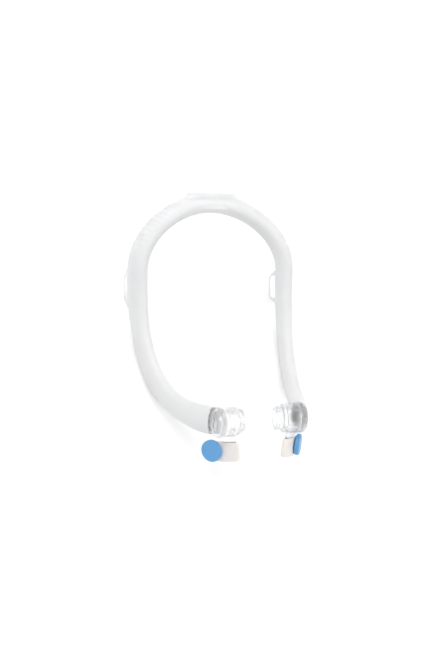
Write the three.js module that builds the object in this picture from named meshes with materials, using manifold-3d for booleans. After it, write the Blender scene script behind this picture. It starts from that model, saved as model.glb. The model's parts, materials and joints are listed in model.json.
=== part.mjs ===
// Tube-up frame of a breathing mask: a hollow silicone tube over the head, two clear elbow
// connectors with release buttons, and two magnetic strap clips.
// Millimetres. The frame is built as it is worn (x to the wearer's left, y up, z forward)
// and then laid on its back, as it comes to rest on a table, with z up.

import * as THREE from 'three';
import { mergeVertices } from 'three/addons/utils/BufferGeometryUtils.js';
import Module from 'manifold-3d';

// Route of the tube's centre line, worn pose
const crownHeight = 220.4;
const earHalfSpan = 73.2;
const earHeight = 158.8;
const earForward = 3.1;
const archFullness = 0.52;
const earLean = 0.07;
const cheekReach = 133.6;
const elbowAcross = 31;
const elbowHeight = 34.3;
const elbowForward = 102;
const elbowReach = 20.2;
const elbowTurn = 0.205;
const elbowDip = 0.175;

// Section of the tube
const wall = 1.6;
const archWidth = 22.2;
const archDepth = 16.6;
const cheekWidth = 20;
const cheekDepth = 14;
const cuffWidth = 23.6;
const cuffDepth = 15;
const narrowFrom = 90;
const narrowTo = 190;
const cuffFrom = 246;
const cuffTo = 282;
const tubeEnd = 286;
const twistAngle = 0.24;
const twistLength = 50;

// Collar of the hose port on the crown
const collarLength = 48;
const collarDepth = 27;
const collarTop = 229.9;
const collarFlare = 6;
const collarSink = 9;
const collarSpread = 8;
const collarTaper = 2.8;
const portLength = 34;
const portDepth = 18;

// Strap tabs behind the ears
const tabTop = 163;
const tabBottom = 125.5;
const tabReach = 34.4;
const tabThickness = 1.2;
const tabLean = 0.12;
const tabOffset = 5.2;
const tabCorner = 5;
const tabShoulder = 17;
const tabTipHalf = 13;
const slotHeight = 20.6;
const slotWidth = 12;
const slotStrip = 2.2;
const slotCorner = 3.5;

// Elbow housing, measured from its middle along the outlet axis, which points inwards
const gap = 0.3;
const cutMargin = 2;
const edgeBreak = 0.8;
const outletTurn = 0.2;
const housingRadius = 12.8;
const housingOuter = 11;
const housingInner = 7.4;
const housingRound = 4.2;
const housingWall = 1.6;
const bandRadius = 12.2;
const bandWidth = 2.2;
const outletNeckRadius = 9.2;
const outletNeckLength = 2.4;
const outletRimRadius = 10.4;
const outletRimWidth = 3.4;
const outletBore = 15.6;
const outletSlit = 2.4;
const spigotInsert = 10;
const spigotWall = 1.3;
const neckLength = 9;
const recessRadius = 10.4;
const cuffClearLength = 30;

// Release button
const buttonHeight = 18;
const buttonWidth = 13;
const buttonThickness = 3.2;
const buttonProud = 0.9;
const buttonTravel = 1.2;

// Magnetic clip and its disc
const discAcross = 40.5;
const discForward = 94.7;
const discHeight = 9.7;
const discDiameter = 18.6;
const discThickness = 4;
const discRound = 1.3;
const discEdge = 0.5;
const clipFacing = 0.953;
const clipTilt = 0.12;
const clipHeight = 16.6;
const clipThickness = 4.4;
const clipReach = 22;
const clipBend = 41;
const clipCorner = 4;

// Hanger plate between the elbow and the clip
const hangerAlong = 14;
const hangerFootHalf = 6;
const hangerBack = 15;
const hangerThickness = 2;
const hangerRise = 5;
const hangerTip = 2;
const hangerTop = 8;
const tongueLength = 10;
const tongueDepth = 6;

const wasm = await Module();
wasm.setup();

// Turns a closed three.js geometry into a solid.
function solidOf(geometry) {
  const bare = geometry.clone();
  bare.deleteAttribute('normal');
  bare.deleteAttribute('uv');
  const merged = mergeVertices(bare, 1e-4);
  return new wasm.Manifold(new wasm.Mesh({
    numProp: 3,
    vertProperties: new Float32Array(merged.attributes.position.array),
    triVerts: new Uint32Array(merged.index.array),
  }));
}

// Turns a solid back into a three.js geometry.
function geometryOf(solid) {
  const mesh = solid.getMesh();
  const geometry = new THREE.BufferGeometry();
  geometry.setAttribute('position', new THREE.BufferAttribute(mesh.vertProperties, 3));
  geometry.setIndex(new THREE.BufferAttribute(mesh.triVerts, 1));
  return geometry;
}

// The wearer's right piece is the left one seen in a mirror.
function mirrored(geometry) {
  const copy = geometry.clone().scale(-1, 1, 1);
  const index = copy.index.array;
  for (let i = 0; i < index.length; i += 3) {
    const first = index[i];
    index[i] = index[i + 1];
    index[i + 1] = first;
  }
  return copy;
}

// Centre line from the right elbow over the crown to the left elbow.
class HeadLine extends THREE.Curve {
  constructor() {
    super();
    const ear = new THREE.Vector3(earHalfSpan, earHeight, earForward);
    const earDown = new THREE.Vector3(0, -Math.cos(earLean), -Math.sin(earLean));
    const elbow = new THREE.Vector3(elbowAcross, elbowHeight, elbowForward);
    const arrival = new THREE.Vector3(-1, -elbowDip, -elbowTurn).normalize();
    const archRise = archFullness * (crownHeight - earHeight);
    this.arch = new THREE.CubicBezierCurve3(
      new THREE.Vector3(0, crownHeight, 0),
      new THREE.Vector3(archFullness * earHalfSpan, crownHeight, 0),
      ear.clone().addScaledVector(earDown, -archRise),
      ear,
    );
    this.cheek = new THREE.CubicBezierCurve3(
      ear,
      ear.clone().addScaledVector(earDown, cheekReach),
      elbow.clone().addScaledVector(arrival, -elbowReach),
      elbow,
    );
    this.archLength = this.arch.getLength();
    this.half = this.archLength + this.cheek.getLength();
  }

  // t runs from 0 at the right elbow to 1 at the left elbow.
  getPoint(t, target = new THREE.Vector3()) {
    return this.pointAt((2 * t - 1) * this.half, target);
  }

  // distance is measured along the line from the crown, negative on the right.
  pointAt(distance, target = new THREE.Vector3()) {
    const along = Math.min(Math.abs(distance), this.half);
    if (along < this.archLength) {
      this.arch.getPointAt(along / this.archLength, target);
    } else {
      this.cheek.getPointAt((along - this.archLength) / (this.half - this.archLength), target);
    }
    target.x *= Math.sign(distance) || 1;
    return target;
  }

  // Centre, side direction and outward direction of the section at a distance.
  frameAt(distance) {
    const step = 0.5;
    const reach = Math.min(Math.abs(distance), this.half - step);
    const near = reach * (Math.sign(distance) || 1);
    const tangent = this.pointAt(near + step).sub(this.pointAt(near - step)).normalize();
    const quarter = Math.min(1, Math.abs(distance) / this.archLength) * Math.PI / 2;
    const turning = smooth(Math.abs(distance), cuffFrom, this.half);
    const outward = new THREE.Vector3(Math.sin(quarter) * Math.sign(near), Math.cos(quarter), turning);
    outward.addScaledVector(tangent, -outward.dot(tangent)).normalize();
    const fadeIn = smooth(Math.abs(distance), 0, twistLength);
    const fadeOut = 1 - smooth(Math.abs(distance), cuffFrom, cuffTo);
    outward.applyAxisAngle(tangent, twistAngle * fadeIn * fadeOut);
    return { centre: this.pointAt(distance), side: tangent.clone().cross(outward), outward };
  }
}

// Zero before the start, one after the end, and a soft step between them.
function smooth(value, start, end) {
  return THREE.MathUtils.smoothstep(value, start, end);
}

// Half width and half depth of the tube's outside at a distance from the crown.
function outsideAt(distance) {
  const along = Math.abs(distance);
  const narrowing = smooth(along, narrowFrom, narrowTo);
  const cuff = smooth(along, cuffFrom, cuffTo);
  const { lerp } = THREE.MathUtils;
  const width = lerp(lerp(archWidth, cheekWidth, narrowing), cuffWidth, cuff);
  const depth = lerp(lerp(archDepth, cheekDepth, narrowing), cuffDepth, cuff);
  return [width / 2, depth / 2];
}

// Closed tube between two distances: an upright cylinder whose rings are laid along the line.
// inset moves the surface inwards from the outside of the silicone.
function tubeSolid(line, from, to, inset, sides, rings) {
  const geometry = new THREE.CylinderGeometry(1, 1, 1, sides, rings);
  const position = geometry.attributes.position;
  for (let i = 0; i < position.count; i += 1) {
    const distance = from + (position.getY(i) + 0.5) * (to - from);
    const { centre, side, outward } = line.frameAt(distance);
    const [halfWidth, halfDepth] = outsideAt(distance);
    centre.addScaledVector(side, position.getX(i) * (halfWidth - inset));
    centre.addScaledVector(outward, position.getZ(i) * (halfDepth - inset));
    position.setXYZ(i, centre.x, centre.y, centre.z);
  }
  return solidOf(geometry);
}

// Rounded rectangle or stadium, centred on the origin.
function roundedRectangle(width, height, corner, steps = 5) {
  const shape = new THREE.Shape();
  const x = width / 2;
  const y = height / 2;
  shape.moveTo(x, -y + corner);
  shape.lineTo(x, y - corner);
  shape.absarc(x - corner, y - corner, corner, 0, Math.PI / 2);
  shape.lineTo(-x + corner, y);
  shape.absarc(-x + corner, y - corner, corner, Math.PI / 2, Math.PI);
  shape.lineTo(-x, -y + corner);
  shape.absarc(-x + corner, -y + corner, corner, Math.PI, 1.5 * Math.PI);
  shape.lineTo(x - corner, -y);
  shape.absarc(x - corner, -y + corner, corner, 1.5 * Math.PI, 2 * Math.PI);
  return new THREE.Shape(shape.getPoints(steps));
}

// Straight prism of a shape, thickness along +z from the plane of the shape.
function prism(shape, thickness) {
  return new THREE.ExtrudeGeometry(shape, { depth: thickness, bevelEnabled: false, curveSegments: 8 });
}

// Collar of the hose port: an oval block whose sides flare out as they go down into the tube.
function collarGeometry() {
  const height = collarFlare + collarSink;
  const geometry = new THREE.CylinderGeometry(1, 1, 1, 32, 8);
  const position = geometry.attributes.position;
  for (let i = 0; i < position.count; i += 1) {
    const below = (0.5 - position.getY(i)) * height;
    const flare = Math.min(1, below / collarFlare) ** 2;
    const x = position.getX(i) * (collarLength / 2 + collarSpread * flare);
    const z = position.getZ(i) * (collarDepth / 2 - collarTaper * flare);
    position.setXYZ(i, x, collarTop - below, z);
  }
  return geometry;
}

// Flat tab with a strap slot behind the left ear, reaching back from the tube.
function tabSolid(line) {
  const middle = (tabTop + tabBottom) / 2;
  const root = line.pointAt(line.archLength + earHeight - middle);
  const outline = new THREE.Shape();
  const half = (tabTop - tabBottom) / 2;
  const shoulder = tabReach - tabShoulder;
  const slope = (half - tabTipHalf) / (tabShoulder - tabCorner);
  const cornerStart = tabReach - tabCorner;
  const cornerPeak = tabTipHalf - slope * tabCorner;
  const cornerEnd = cornerPeak - tabCorner;
  outline.moveTo(0, -half - tabCorner);
  outline.quadraticCurveTo(-shoulder / 2, -half, -shoulder, -half);
  outline.lineTo(-cornerStart, -tabTipHalf);
  outline.quadraticCurveTo(-tabReach, -cornerPeak, -tabReach, -cornerEnd);
  outline.lineTo(-tabReach, cornerEnd);
  outline.quadraticCurveTo(-tabReach, cornerPeak, -cornerStart, tabTipHalf);
  outline.lineTo(-shoulder, half);
  outline.quadraticCurveTo(-shoulder / 2, half, 0, half + tabCorner);
  outline.closePath();
  const slot = roundedRectangle(slotWidth, slotHeight, slotCorner);
  const slotMiddle = slotStrip + slotWidth / 2 - tabReach;
  const slotPoints = slot.getPoints().map((point) => new THREE.Vector2(point.x + slotMiddle, point.y));
  outline.holes.push(new THREE.Path(slotPoints));
  const plate = prism(outline, tabThickness);
  plate.translate(0, 0, -tabThickness / 2);
  plate.rotateY(-Math.PI / 2 + tabLean);
  plate.translate(root.x + tabOffset, middle, root.z);
  return solidOf(plate);
}

// The whole tube: outside, collar and tabs joined, then the air way and the port cut out.
function tubeGeometry(line) {
  const leftTab = tabSolid(line);
  const rightTab = solidOf(mirrored(geometryOf(leftTab)));
  const tube = tubeSolid(line, -tubeEnd, tubeEnd, 0, 24, 84);
  const body = tube.add(solidOf(collarGeometry())).add(leftTab).add(rightTab);
  const airWay = tubeSolid(line, -tubeEnd - cutMargin, tubeEnd + cutMargin, wall, 18, 84);
  const port = new THREE.CylinderGeometry(1, 1, collarFlare + collarSink, 28);
  port.scale(portLength / 2, 1, portDepth / 2);
  port.translate(0, collarTop - (collarFlare + collarSink) / 2 + cutMargin, 0);
  return geometryOf(body.subtract(airWay).subtract(solidOf(port)));
}

// Places a geometry that is built around +z so that +z becomes the left outlet axis.
function alongOutlet(geometry) {
  geometry.rotateY(-Math.PI / 2 - outletTurn);
  geometry.translate(elbowAcross, elbowHeight, elbowForward);
  return geometry;
}

// Turned solid around +z from points of radius and height.
function turned(points, segments = 28) {
  const profile = points.map(([radius, height]) => new THREE.Vector2(radius, height));
  return new THREE.LatheGeometry(profile, segments).rotateX(Math.PI / 2);
}

// Outside of the housing: domed outer face, drum, band, outlet neck and its snap rim.
function housingOutside() {
  const bandEnd = housingInner + bandWidth;
  const neckEnd = bandEnd + outletNeckLength;
  const rimEnd = neckEnd + outletRimWidth;
  const corner = [];
  for (let step = 0; step <= 5; step += 1) {
    const angle = (step / 5) * Math.PI / 2;
    corner.push([
      housingRadius - housingRound + housingRound * Math.sin(angle),
      -housingOuter + housingRound - housingRound * Math.cos(angle),
    ]);
  }
  return turned([
    [0, -housingOuter],
    ...corner,
    [housingRadius, housingInner - edgeBreak],
    [bandRadius - edgeBreak, housingInner - edgeBreak / 2],
    [bandRadius, housingInner],
    [bandRadius, bandEnd],
    [outletNeckRadius, bandEnd + edgeBreak / 2],
    [outletNeckRadius, neckEnd],
    [outletRimRadius, neckEnd + edgeBreak],
    [outletRimRadius, rimEnd - edgeBreak],
    [outletRimRadius - edgeBreak, rimEnd],
    [0, rimEnd],
  ]);
}

// Depth of the pocket that the release button slides into.
const pocketDepth = buttonThickness - buttonProud + buttonTravel + gap;

// Air chamber and outlet bore of the housing.
function housingInside() {
  const rimEnd = housingInner + bandWidth + outletNeckLength + outletRimWidth;
  const floor = -housingOuter + pocketDepth + housingWall;
  const chamber = housingRadius - housingWall;
  return turned([
    [0, floor],
    [chamber, floor],
    [chamber, housingInner - housingWall],
    [outletBore / 2, housingInner + edgeBreak],
    [outletBore / 2, rimEnd + cutMargin],
    [0, rimEnd + cutMargin],
  ]);
}

// Oval of the release button or, with a clearance, of its pocket.
function buttonOval(clearance) {
  const shape = new THREE.Shape();
  shape.absellipse(0, 0, buttonWidth / 2 + clearance, buttonHeight / 2 + clearance, 0, 2 * Math.PI);
  return new THREE.Shape(shape.getPoints(26).slice(0, -1));
}

// Two slits split the snap rim of the outlet into springy halves.
function rimSlits() {
  const length = outletRimWidth + outletNeckLength;
  const start = housingInner + bandWidth + edgeBreak;
  const slits = new THREE.BoxGeometry(4 * outletRimRadius, outletSlit, length + cutMargin);
  return slits.translate(0, 0, start + (length + cutMargin) / 2);
}

// Places a geometry of the left clip. It is built with x backwards, y up and z outwards, its
// bottom at y = 0, its middle surface at z = 0 and the disc's axis at x = 0.
function atClip(geometry) {
  const seat = discThickness / 2 + gap + clipThickness / 2;
  geometry.translate(0, -discHeight, -seat);
  geometry.rotateX(clipTilt);
  geometry.rotateY(clipFacing);
  geometry.translate(discAcross, discHeight, discForward);
  return geometry;
}

// Moves a geometry from the disc's axis to a distance in front of it, round the clip's bend.
function alongClip(geometry, along) {
  const angle = along / clipBend;
  geometry.rotateY(-angle);
  geometry.translate(-clipBend * Math.sin(angle), 0, clipBend * (Math.cos(angle) - 1));
  return geometry;
}

// Clip band: a bent strip in plan, cut to its rounded outline as seen from the side.
function clipGeometry() {
  const plan = new THREE.Shape();
  const half = clipThickness / 2;
  const back = discDiameter / 2;
  const end = Math.PI / 2 + clipReach / clipBend;
  plan.moveTo(back, -half);
  plan.lineTo(back, half);
  plan.lineTo(0, half);
  plan.absarc(0, -clipBend, clipBend + half, Math.PI / 2, end, false);
  plan.absarc(0, -clipBend, clipBend - half, end, Math.PI / 2, true);
  const strip = prism(plan, clipHeight + 2 * cutMargin);
  strip.rotateX(Math.PI / 2).translate(0, clipHeight + cutMargin, 0);
  const front = -(clipBend + half) * Math.sin(clipReach / clipBend);
  const side = new THREE.Shape();
  side.moveTo(0, 0);
  side.absarc(back - clipHeight / 2, clipHeight / 2, clipHeight / 2, -Math.PI / 2, Math.PI / 2, false);
  side.absarc(front + clipCorner, clipHeight - clipCorner, clipCorner, Math.PI / 2, Math.PI, false);
  side.absarc(front + clipCorner, clipCorner, clipCorner, Math.PI, 1.5 * Math.PI, false);
  side.closePath();
  const cutter = prism(side, 4 * discDiameter).translate(0, 0, -2 * discDiameter);
  const slotSide = hangerThickness + 2 * gap;
  const slot = new THREE.BoxGeometry(tongueLength + 2 * gap, 2 * (tongueDepth + gap), slotSide);
  alongClip(slot.translate(0, clipHeight, 0), hangerAlong);
  const band = solidOf(strip).intersect(solidOf(cutter)).subtract(solidOf(slot));
  return atClip(geometryOf(band));
}

// Round disc with a softly rounded rim, on the outside of the clip.
function discGeometry() {
  const radius = discDiameter / 2;
  const half = discThickness / 2;
  const points = [[0, -half], [radius - discEdge, -half], [radius, discEdge - half]];
  for (let step = 0; step <= 4; step += 1) {
    const angle = (step / 4) * Math.PI / 2;
    points.push([
      radius - discRound + discRound * Math.cos(angle),
      half - discRound + discRound * Math.sin(angle),
    ]);
  }
  points.push([0, half]);
  const seat = clipThickness / 2 + gap + half;
  return atClip(turned(points, 32).translate(0, discHeight, seat));
}

// Hanger plate under the elbow, with the tongue that stands in the clip's slot.
function hangerGeometry() {
  const foot = clipHeight + gap;
  const outline = new THREE.Shape();
  outline.moveTo(-hangerFootHalf, foot);
  outline.lineTo(-tongueLength / 2, foot);
  outline.lineTo(-tongueLength / 2, clipHeight - tongueDepth);
  outline.lineTo(tongueLength / 2, clipHeight - tongueDepth);
  outline.lineTo(tongueLength / 2, foot);
  outline.lineTo(hangerFootHalf, foot);
  outline.lineTo(hangerBack, foot + hangerRise);
  outline.lineTo(hangerBack, foot + hangerRise + hangerTip);
  outline.lineTo(-hangerFootHalf, foot + hangerTop);
  outline.closePath();
  const plate = prism(outline, hangerThickness).translate(0, 0, -hangerThickness / 2);
  return atClip(alongClip(plate, hangerAlong));
}

// Clear elbow connector of the left side.
function connectorGeometry(line) {
  const neck = tubeSolid(line, tubeEnd + gap, tubeEnd + neckLength, 0, 24, 4);
  const inside = tubeEnd - spigotInsert;
  const spigot = tubeSolid(line, inside, tubeEnd + neckLength, wall + gap, 18, 6);
  const bore = tubeSolid(line, inside - cutMargin, line.half, wall + gap + spigotWall, 16, 8);
  const recess = new THREE.CylinderGeometry(recessRadius, recessRadius, 2 * housingRadius, 28);
  recess.rotateX(Math.PI / 2).translate(0, 0, -housingOuter - housingRadius);
  const pocket = prism(buttonOval(gap), pocketDepth + cutMargin);
  pocket.translate(0, 0, -housingOuter - cutMargin);
  const cuffSpace = tubeSolid(line, tubeEnd - cuffClearLength, tubeEnd + gap, -gap, 24, 6);
  const housing = solidOf(alongOutlet(housingOutside())).add(solidOf(hangerGeometry())).add(neck);
  const body = housing.subtract(solidOf(alongOutlet(recess))).subtract(cuffSpace);
  const whole = body.add(spigot);
  const air = solidOf(alongOutlet(housingInside())).add(bore);
  const cuts = solidOf(alongOutlet(pocket)).add(solidOf(alongOutlet(rimSlits())));
  return geometryOf(whole.subtract(air).subtract(cuts));
}

// Release button of the left side, proud of the housing's outer face.
function buttonGeometry() {
  const button = prism(buttonOval(0), buttonThickness);
  return alongOutlet(button.translate(0, 0, -housingOuter - buttonProud));
}

// Finishes of the pieces
const silicone = { color: 0xe9ebec, roughness: 0.55, metalness: 0 };
const clear = { color: 0xcfd4d8, roughness: 0.12, metalness: 0 };
const beige = { color: 0xe6dfd9, roughness: 0.5, metalness: 0 };
const blue = { color: 0x2f78bf, roughness: 0.4, metalness: 0 };

const worn = new THREE.Group();

function addPiece(name, geometry, finish) {
  const mesh = new THREE.Mesh(geometry, new THREE.MeshStandardMaterial(finish));
  mesh.name = name;
  worn.add(mesh);
}

function addPair(name, geometry, finish) {
  addPiece(`${name}_left`, geometry, finish);
  addPiece(`${name}_right`, mirrored(mergeVertices(stripped(geometry), 1e-4)), finish);
}

// A geometry with positions only.
function stripped(geometry) {
  const bare = geometry.clone();
  bare.deleteAttribute('normal');
  bare.deleteAttribute('uv');
  return bare;
}

const headLine = new HeadLine();
addPiece('silicone_tube', tubeGeometry(headLine), silicone);
addPair('connector', connectorGeometry(headLine), clear);
addPair('release_button', buttonGeometry(), clear);
addPair('magnet_clip', clipGeometry(), beige);
addPair('magnet_disc', discGeometry(), blue);

// Volume and middle of mass of the pieces, with one density for all of them.
function middleOfMass(meshes) {
  const middle = new THREE.Vector3();
  const corners = [new THREE.Vector3(), new THREE.Vector3(), new THREE.Vector3()];
  let volume = 0;
  for (const mesh of meshes) {
    const position = mesh.geometry.attributes.position;
    const index = mesh.geometry.index ?? { count: position.count, getX: (i) => i };
    for (let i = 0; i < index.count; i += 3) {
      corners.forEach((corner, k) => corner.fromBufferAttribute(position, index.getX(i + k)));
      const part = corners[0].dot(corners[1].clone().cross(corners[2])) / 6;
      middle.addScaledVector(corners[0].clone().add(corners[1]).add(corners[2]), part / 4);
      volume += part;
    }
  }
  return middle.divideScalar(volume);
}

// Turn about x that lays the worn frame on its back: the two points that carry it, below and
// above its middle of mass, come level.
function restingTurn(meshes) {
  const middle = middleOfMass(meshes);
  const points = [];
  for (const mesh of meshes) {
    const position = mesh.geometry.attributes.position;
    for (let i = 0; i < position.count; i += 1) {
      points.push([position.getY(i), position.getZ(i)]);
    }
  }
  let turn = Math.PI / 4;
  for (let round = 0; round < 12; round += 1) {
    const level = ([y, z]) => y * Math.sin(turn) + z * Math.cos(turn);
    const along = ([y, z]) => y * Math.cos(turn) - z * Math.sin(turn);
    const centre = along([middle.y, middle.z]);
    const lowest = (side) => points.filter((p) => side * (along(p) - centre) > 0)
      .reduce((low, p) => (level(p) < level(low) ? p : low));
    const upper = lowest(1);
    const lower = lowest(-1);
    turn = Math.atan2(lower[1] - upper[1], upper[0] - lower[0]);
  }
  return turn;
}

const frame = new THREE.Group();
frame.add(worn);
worn.rotation.x = restingTurn(worn.children);
frame.updateMatrixWorld(true);
const bounds = new THREE.Box3().setFromObject(frame, true);
const middleBelow = bounds.getCenter(new THREE.Vector3()).setZ(bounds.min.z);
worn.position.sub(middleBelow);

export default frame;
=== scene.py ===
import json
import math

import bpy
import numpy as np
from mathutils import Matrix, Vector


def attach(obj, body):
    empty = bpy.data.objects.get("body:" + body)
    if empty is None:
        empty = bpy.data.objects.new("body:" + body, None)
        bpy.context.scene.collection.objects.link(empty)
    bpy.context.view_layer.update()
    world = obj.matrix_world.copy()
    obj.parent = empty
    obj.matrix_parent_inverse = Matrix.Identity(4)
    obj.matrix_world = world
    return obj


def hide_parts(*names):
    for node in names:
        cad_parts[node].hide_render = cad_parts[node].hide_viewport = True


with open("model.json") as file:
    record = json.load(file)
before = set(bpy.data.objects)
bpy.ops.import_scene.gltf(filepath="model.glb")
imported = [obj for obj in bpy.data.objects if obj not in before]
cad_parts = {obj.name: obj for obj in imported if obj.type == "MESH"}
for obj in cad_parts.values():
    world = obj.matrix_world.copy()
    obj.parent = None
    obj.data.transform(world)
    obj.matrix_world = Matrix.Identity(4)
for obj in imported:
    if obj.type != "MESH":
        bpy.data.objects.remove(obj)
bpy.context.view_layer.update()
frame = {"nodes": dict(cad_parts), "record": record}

# %% [markdown]
# # A tube-up mask frame
#
# The real object is a loop of milky silicone tube that goes over the head, with a clear elbow
# at each end and a small magnetic clip under each elbow. The lesson builds each piece as a
# surface worked out with numpy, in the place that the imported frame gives, and then finishes it.

# %% [markdown]
# ## Libraries and units
#
# The frame is in metres, and all sizes in this lesson are in millimetres.

MM = 0.001
print("nodes in the frame:", sorted(frame["nodes"]))

# %% [markdown]
# ## The worn frame
#
# The part is stored lying on its back, but every size is easier to think of as it is worn:
# x to the wearer's left, y up the head and z forward. The flat rim of the hose port points
# straight up the head, so its stored point and axis give the whole turn back.

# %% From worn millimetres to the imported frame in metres
PORT_RIM_ACROSS = 21.0
COLLAR_TOP = 229.9
port = next(mount for mount in frame["record"]["mounts"] if mount["name"] == "crown_port")
LEFT = np.array((1.0, 0.0, 0.0))
UP = np.array(port["axis"]) / np.linalg.norm(port["axis"])
FORWARD = np.cross(LEFT, UP)
ORIGIN = np.array(port["pos_m"]) - MM * (PORT_RIM_ACROSS * LEFT + COLLAR_TOP * UP)


def to_row(worn):
    """Row frame point = origin + x times left + y times up + z times forward, in metres."""
    worn = np.asarray(worn, dtype=float) * MM
    return ORIGIN + worn[..., :1] * LEFT + worn[..., 1:2] * UP + worn[..., 2:3] * FORWARD


print("worn origin in the packed frame:", ORIGIN.round(4))

# %% [markdown]
# ## Surfaces from grids
#
# A grid of points with rows and columns becomes a skin of four-sided faces. A ring of rings is
# closed like a doughnut, and a row of rings is closed with a fan at each end. The sign of the
# enclosed volume says whether the faces look outwards, so a mirrored shape needs no special care.


# %% Grids into meshes
def quads(rows, columns, wrap_rows):
    """Face (r, c) joins points (r, c), (r + 1, c), (r + 1, c + 1) and (r, c + 1)."""
    r, c = np.meshgrid(np.arange(rows if wrap_rows else rows - 1), np.arange(columns), indexing="ij")
    below, beside = (r + 1) % rows, (c + 1) % columns
    corners = [r * columns + c, below * columns + c, below * columns + beside, r * columns + beside]
    return np.stack([corner.ravel() for corner in corners], axis=1)


def fan(ring, centre):
    """Triangle k joins the centre with points k and k + 1 of a ring."""
    return np.stack([np.full(len(ring), centre), ring, np.roll(ring, -1)], axis=1)


def enclosed_volume(points, faces):
    """A sixth of the sum of a . (b x c) over the triangles of a fan round each face."""
    total = 0.0
    for polygons in faces:
        for k in range(1, polygons.shape[1] - 1):
            a, b, c = points[polygons[:, 0]], points[polygons[:, k]], points[polygons[:, k + 1]]
            total += np.einsum("ij,ij->i", a, np.cross(b, c)).sum() / 6
    return total


def mesh_object(name, worn_points, faces):
    """A mesh in the row frame from worn points in mm and arrays of faces, turned outwards."""
    points = to_row(worn_points)
    if enclosed_volume(points - points.mean(axis=0), faces) < 0:
        faces = [polygons[:, ::-1] for polygons in faces]
    mesh = bpy.data.meshes.new(name)
    mesh.from_pydata(points, [], [polygon for polygons in faces for polygon in polygons.tolist()])
    piece = bpy.data.objects.new(name, mesh)
    bpy.context.scene.collection.objects.link(piece)
    return piece


def ring_of_rings(name, grid):
    """Doughnut: point (r, c) of a grid that closes both ways."""
    rows, columns = grid.shape[:2]
    return mesh_object(name, grid.reshape(-1, 3), [quads(rows, columns, True)])


def capped(name, grid):
    """Rod: rings of points, the first and the last closed with a fan to their middle."""
    rows, columns = grid.shape[:2]
    points = np.vstack([grid.reshape(-1, 3), grid[0].mean(axis=0), grid[-1].mean(axis=0)])
    first, last = np.arange(columns), np.arange(columns) + (rows - 1) * columns
    caps = [fan(first, rows * columns), fan(last[::-1], rows * columns + 1)]
    return mesh_object(name, points, [quads(rows, columns, False), np.vstack(caps)])


print("faces of a ring of 4 rows and 3 columns:", len(quads(4, 3, True)))

# %% [markdown]
# ## Joining and cutting
#
# The real pieces are moulded in one shot, so joined surfaces must be one skin, or the inside
# faces would show through the clear plastic. A boolean modifier joins and cuts, and its result
# is stored as the piece's own mesh.


# %% Booleans that leave a plain mesh
def combine(piece, tools, operation):
    """Joins tools to a piece, or cuts them out of it, and deletes the tools."""
    for tool in tools:
        step = piece.modifiers.new("step", "BOOLEAN")
        step.solver = "MANIFOLD"
        step.operation = operation
        step.object = tool
    settled = piece.evaluated_get(bpy.context.evaluated_depsgraph_get())
    piece.data = bpy.data.meshes.new_from_object(settled)
    piece.modifiers.clear()
    for tool in tools:
        bpy.data.objects.remove(tool)
    return piece


def smoothed(piece, sharp_degrees=38):
    """Smooth shading, with an edge kept where faces meet at more than the angle."""
    piece.data.shade_smooth()
    piece.data.set_sharp_from_angle(angle=math.radians(sharp_degrees))
    return piece


print("joining and cutting use the manifold solver")

# %% [markdown]
# ## The line of the tube
#
# Seen from the front the tube is an arch over the head, and from the side it runs down in
# front of the ears and turns forward to the mouth. Two Bezier curves make one half, which meet
# at the ear with one direction, and the other half is its mirror image.

# %% Driving sizes of the line and the section, in mm, as worn
CROWN_HEIGHT, EAR_HALF_SPAN, EAR_HEIGHT, EAR_FORWARD = 220.4, 73.2, 158.8, 3.1
ARCH_FULLNESS, EAR_LEAN, CHEEK_REACH = 0.52, 0.07, 133.6
ELBOW = np.array((31.0, 34.3, 102.0))
ELBOW_REACH, ELBOW_TURN, ELBOW_DIP = 20.2, 0.205, 0.175
WALL = 1.6
ARCH_SECTION, CHEEK_SECTION, CUFF_SECTION = (22.2, 16.6), (20.0, 14.0), (23.6, 15.0)
NARROW_FROM, NARROW_TO, CUFF_FROM, CUFF_TO, TUBE_END = 90.0, 190.0, 246.0, 282.0, 286.0
TWIST_ANGLE, TWIST_LENGTH = 0.24, 50.0
TANGENT_STEP, TANGENT_STOP = 0.5, 0.6
GAP, MARGIN = 0.3, 2.0


def unit(vectors):
    """Each vector divided by its length."""
    return vectors / np.linalg.norm(vectors, axis=-1, keepdims=True)


def smooth(value, start, end):
    """3 u^2 - 2 u^3, where u goes from 0 at start to 1 at end and stays there."""
    u = np.clip((value - start) / (end - start), 0, 1)
    return u * u * (3 - 2 * u)


def bezier(corners, count=1200):
    """Cubic Bezier curve: four corners weighted by (1-t)^3, 3t(1-t)^2, 3t^2(1-t) and t^3."""
    t = np.linspace(0, 1, count)[:, None]
    weights = ((1 - t) ** 3, 3 * t * (1 - t) ** 2, 3 * t * t * (1 - t), t ** 3)
    return sum(weight * np.array(corner) for weight, corner in zip(weights, corners))


ear = np.array((EAR_HALF_SPAN, EAR_HEIGHT, EAR_FORWARD))
ear_down = np.array((0, -math.cos(EAR_LEAN), -math.sin(EAR_LEAN)))
arrival = unit(np.array((-1.0, -ELBOW_DIP, -ELBOW_TURN)))
arch_rise = ARCH_FULLNESS * (CROWN_HEIGHT - EAR_HEIGHT)
arch_handle = (ARCH_FULLNESS * EAR_HALF_SPAN, CROWN_HEIGHT, 0)
arch = bezier([(0, CROWN_HEIGHT, 0), arch_handle, ear - arch_rise * ear_down, ear])
cheek = bezier([ear, ear + CHEEK_REACH * ear_down, ELBOW - ELBOW_REACH * arrival, ELBOW])
half_line = np.vstack([arch, cheek[1:]])
half_steps = np.concatenate([[0], np.linalg.norm(np.diff(half_line, axis=0), axis=1).cumsum()])
HALF_LENGTH, ARCH_LENGTH = half_steps[-1], half_steps[len(arch) - 1]


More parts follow.
